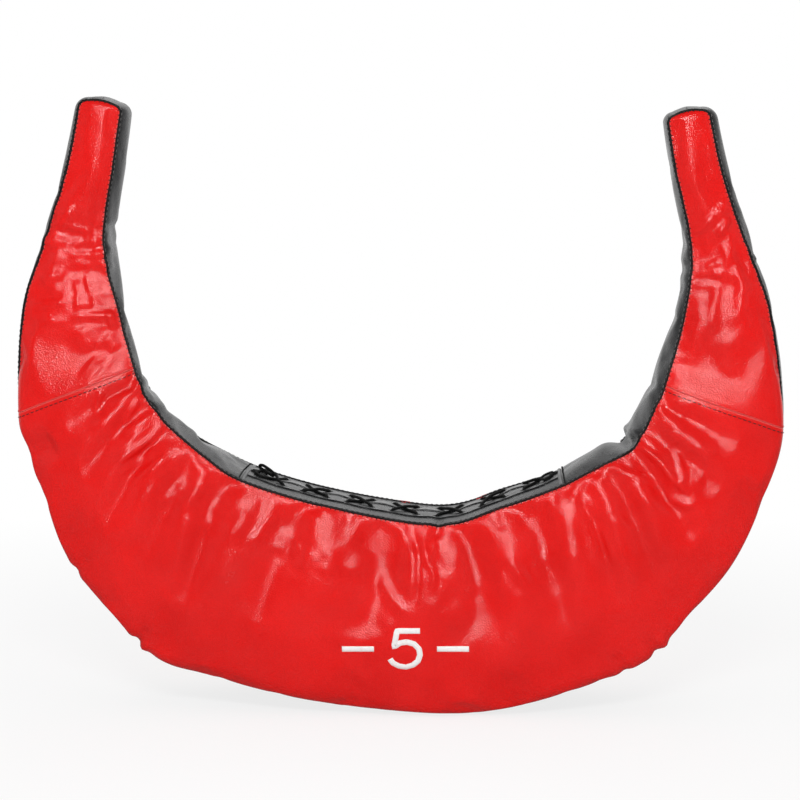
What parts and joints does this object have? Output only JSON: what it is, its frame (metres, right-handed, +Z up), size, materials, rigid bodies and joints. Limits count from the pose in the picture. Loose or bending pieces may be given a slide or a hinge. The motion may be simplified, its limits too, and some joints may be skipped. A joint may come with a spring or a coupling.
{
  "type": "bulgarian bag",
  "caption": "Crescent shaped stuffed leather training bag with tapered horn handles and a laced filling slit on its concave side.",
  "frame": {"origin": "middle of the flat patch under the curved outer edge, on which the bag stands", "axes": "+X across the bag from the left horn to the right one, +Y from the front panel to the back panel, +Z up to the horns' tips"},
  "size_m": [0.499, 0.1118, 0.4002],
  "materials": {
    "red_leather": "satin",
    "black_leather": "satin",
    "black_binding": "matt",
    "lace_cord": "braided",
    "wadding": "loose fibre",
    "sand_pouch": "sand in plain cloth",
    "packed_cloth": "rolled cloth"
  },
  "bodies": {
    "bag": {"front_main_panel": "red_leather", "back_main_panel": "red_leather", "inner_left_gusset": "black_leather", "inner_right_gusset": "black_leather", "front_lacing_lip": "black_leather", "back_lacing_lip": "black_leather", "lacing_tongue": "black_leather", "outer_main_gusset": "black_leather", "front_edge_binding": "black_binding", "back_edge_binding": "black_binding", "lace": "lace_cord", "front_wadding": "wadding", "back_wadding": "wadding", "left_sand_pouch": "sand_pouch", "centre_sand_pouch": "sand_pouch", "right_sand_pouch": "sand_pouch"},
    "left_handle": {"left_handle_core": "packed_cloth", "front_left_horn_panel": "red_leather", "back_left_horn_panel": "red_leather", "outer_left_gusset": "black_leather"},
    "right_handle": {"right_handle_core": "packed_cloth", "front_right_horn_panel": "red_leather", "back_right_horn_panel": "red_leather", "outer_right_gusset": "black_leather"}
  },
  "joints": [
    {"name": "left_handle_bend", "type": "hinge", "parent": "bag", "child": "left_handle", "pos_m": [-0.20999, 0, 0.28282], "axis": [0, 1, 0], "range_deg": [-20, 20], "stiffness_Nm_per_rad": 6, "deforming": ["front_left_horn_panel", "back_left_horn_panel", "outer_left_gusset", "inner_left_gusset", "front_edge_binding", "back_edge_binding"]},
    {"name": "right_handle_bend", "type": "hinge", "parent": "bag", "child": "right_handle", "pos_m": [0.20999, 0, 0.28282], "axis": [0, 1, 0], "range_deg": [-20, 20], "stiffness_Nm_per_rad": 6, "deforming": ["front_right_horn_panel", "back_right_horn_panel", "outer_right_gusset", "inner_right_gusset", "front_edge_binding", "back_edge_binding"]}
  ]
}
